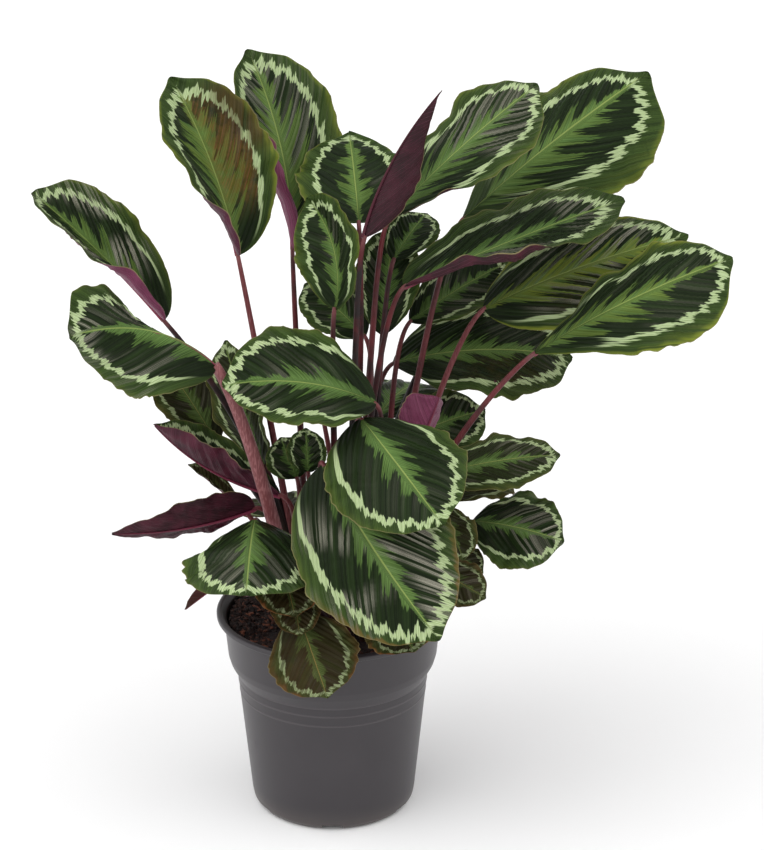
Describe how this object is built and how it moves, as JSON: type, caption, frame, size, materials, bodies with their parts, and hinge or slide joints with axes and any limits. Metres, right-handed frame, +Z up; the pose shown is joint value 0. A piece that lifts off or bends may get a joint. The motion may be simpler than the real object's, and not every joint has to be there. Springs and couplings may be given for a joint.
{
  "type": "potted calathea",
  "caption": "Bushy potted calathea: round feather-patterned leaves with wine undersides on slender burgundy stalks, in a tapered dark grey nursery pot with soil.",
  "frame": {"origin": "centre of the pot's flat underside", "axes": "+Z up along the pot's axis; the side seen in the picture looks along -Y; +X is to the right of that side"},
  "size_m": [0.6013, 0.4353, 0.6762],
  "materials": {
    "pot": "satin moulded anthracite plastic",
    "soil": "rough dark brown potting soil with bark chips",
    "stalk": "satin burgundy stalk",
    "leaf": "satin leaf: dark green with a pale jagged ring and a light green midrib zone above, wine purple below"
  },
  "bodies": {
    "root": {"leaf_back_1": "leaf", "leaf_back_2": "leaf", "leaf_back_3": "leaf", "leaf_back_4": "leaf", "leaf_back_5": "leaf", "leaf_centre_1": "leaf", "leaf_centre_2": "leaf", "leaf_centre_3": "leaf", "leaf_centre_4": "leaf", "leaf_centre_5": "leaf", "leaf_centre_6": "leaf", "leaf_centre_7": "leaf", "leaf_centre_8": "leaf", "leaf_centre_9": "leaf", "leaf_front_1": "leaf", "leaf_front_2": "leaf", "leaf_front_3": "leaf", "leaf_front_4": "leaf", "leaf_front_5": "leaf", "leaf_front_6": "leaf", "leaf_front_7": "leaf", "leaf_left_1": "leaf", "leaf_left_2": "leaf", "leaf_left_3": "leaf", "leaf_left_4": "leaf", "leaf_left_5": "leaf", "leaf_left_6": "leaf", "leaf_left_7": "leaf", "leaf_left_8": "leaf", "leaf_right_1": "leaf", "leaf_right_10": "leaf", "leaf_right_11": "leaf", "leaf_right_12": "leaf", "leaf_right_2": "leaf", "leaf_right_3": "leaf", "leaf_right_4": "leaf", "leaf_right_5": "leaf", "leaf_right_6": "leaf", "leaf_right_7": "leaf", "leaf_right_8": "leaf", "leaf_right_9": "leaf", "leaf_top_1": "leaf", "leaf_top_2": "leaf", "leaf_top_3": "leaf", "leaf_top_4": "leaf", "pot": "pot", "shoot_back": "stalk", "shoot_back_left": "stalk", "shoot_centre": "stalk", "shoot_front": "stalk", "shoot_left": "stalk", "shoot_left_front": "stalk", "shoot_right": "stalk", "shoot_right_front": "stalk", "soil": "soil"}
  },
  "joints": []
}
